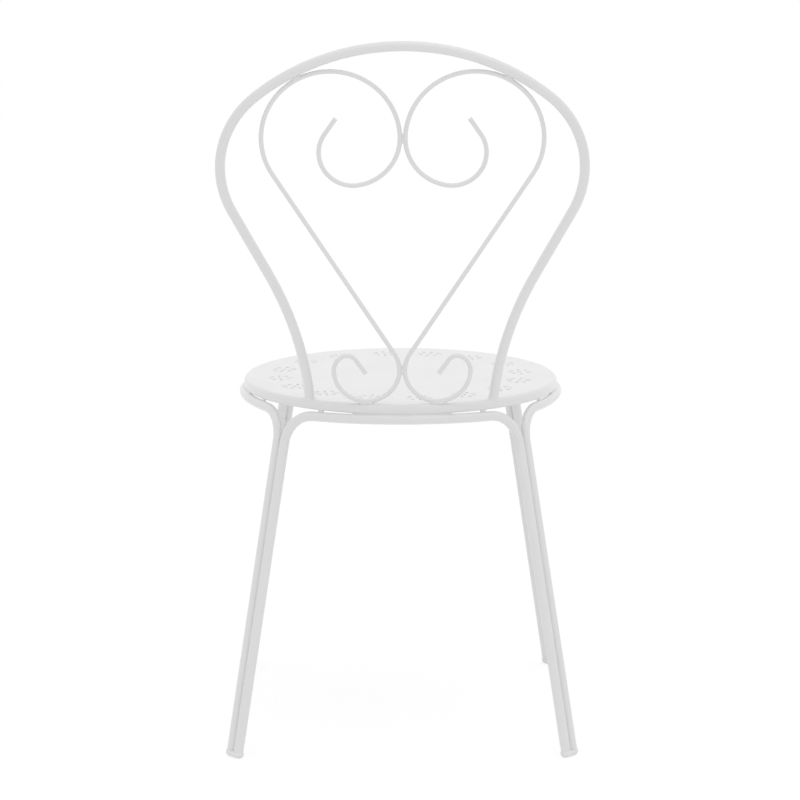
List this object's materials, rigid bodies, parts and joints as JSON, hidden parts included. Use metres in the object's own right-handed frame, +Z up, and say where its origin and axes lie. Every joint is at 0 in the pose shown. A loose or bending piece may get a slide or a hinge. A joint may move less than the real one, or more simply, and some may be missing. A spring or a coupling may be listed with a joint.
{
  "type": "metal chair",
  "caption": "White welded metal dining chair with a round pierced seat, tubular legs and a hoop back that holds a heart of bent rod scrolls.",
  "frame": {"origin": "on the floor under the middle of the chair's box", "axes": "+Z up; -Y is the way the sitter faces; +X is the sitter's left"},
  "size_m": [0.4404, 0.4936, 0.8799],
  "materials": {
    "powder_coat": "satin powder coat",
    "glide_plastic": "moulded, matte"
  },
  "bodies": {
    "root": {"back_hoop": "powder_coat", "crown_welds": "powder_coat", "front_left_foot_cap": "glide_plastic", "front_left_leg_welds": "powder_coat", "front_leg_hoop": "powder_coat", "front_right_foot_cap": "glide_plastic", "front_right_leg_welds": "powder_coat", "front_seat_spacers": "powder_coat", "hoop_foot_welds": "powder_coat", "left_leg_hoop": "powder_coat", "left_scroll": "powder_coat", "left_seat_spacers": "powder_coat", "lower_heart_weld": "powder_coat", "rear_left_foot_cap": "glide_plastic", "rear_left_leg_welds": "powder_coat", "rear_leg_hoop": "powder_coat", "rear_right_foot_cap": "glide_plastic", "rear_right_leg_welds": "powder_coat", "rear_seat_spacers": "powder_coat", "right_leg_hoop": "powder_coat", "right_scroll": "powder_coat", "right_seat_spacers": "powder_coat", "scroll_foot_welds": "powder_coat", "seat_pan": "powder_coat", "upper_heart_weld": "powder_coat"}
  },
  "joints": []
}
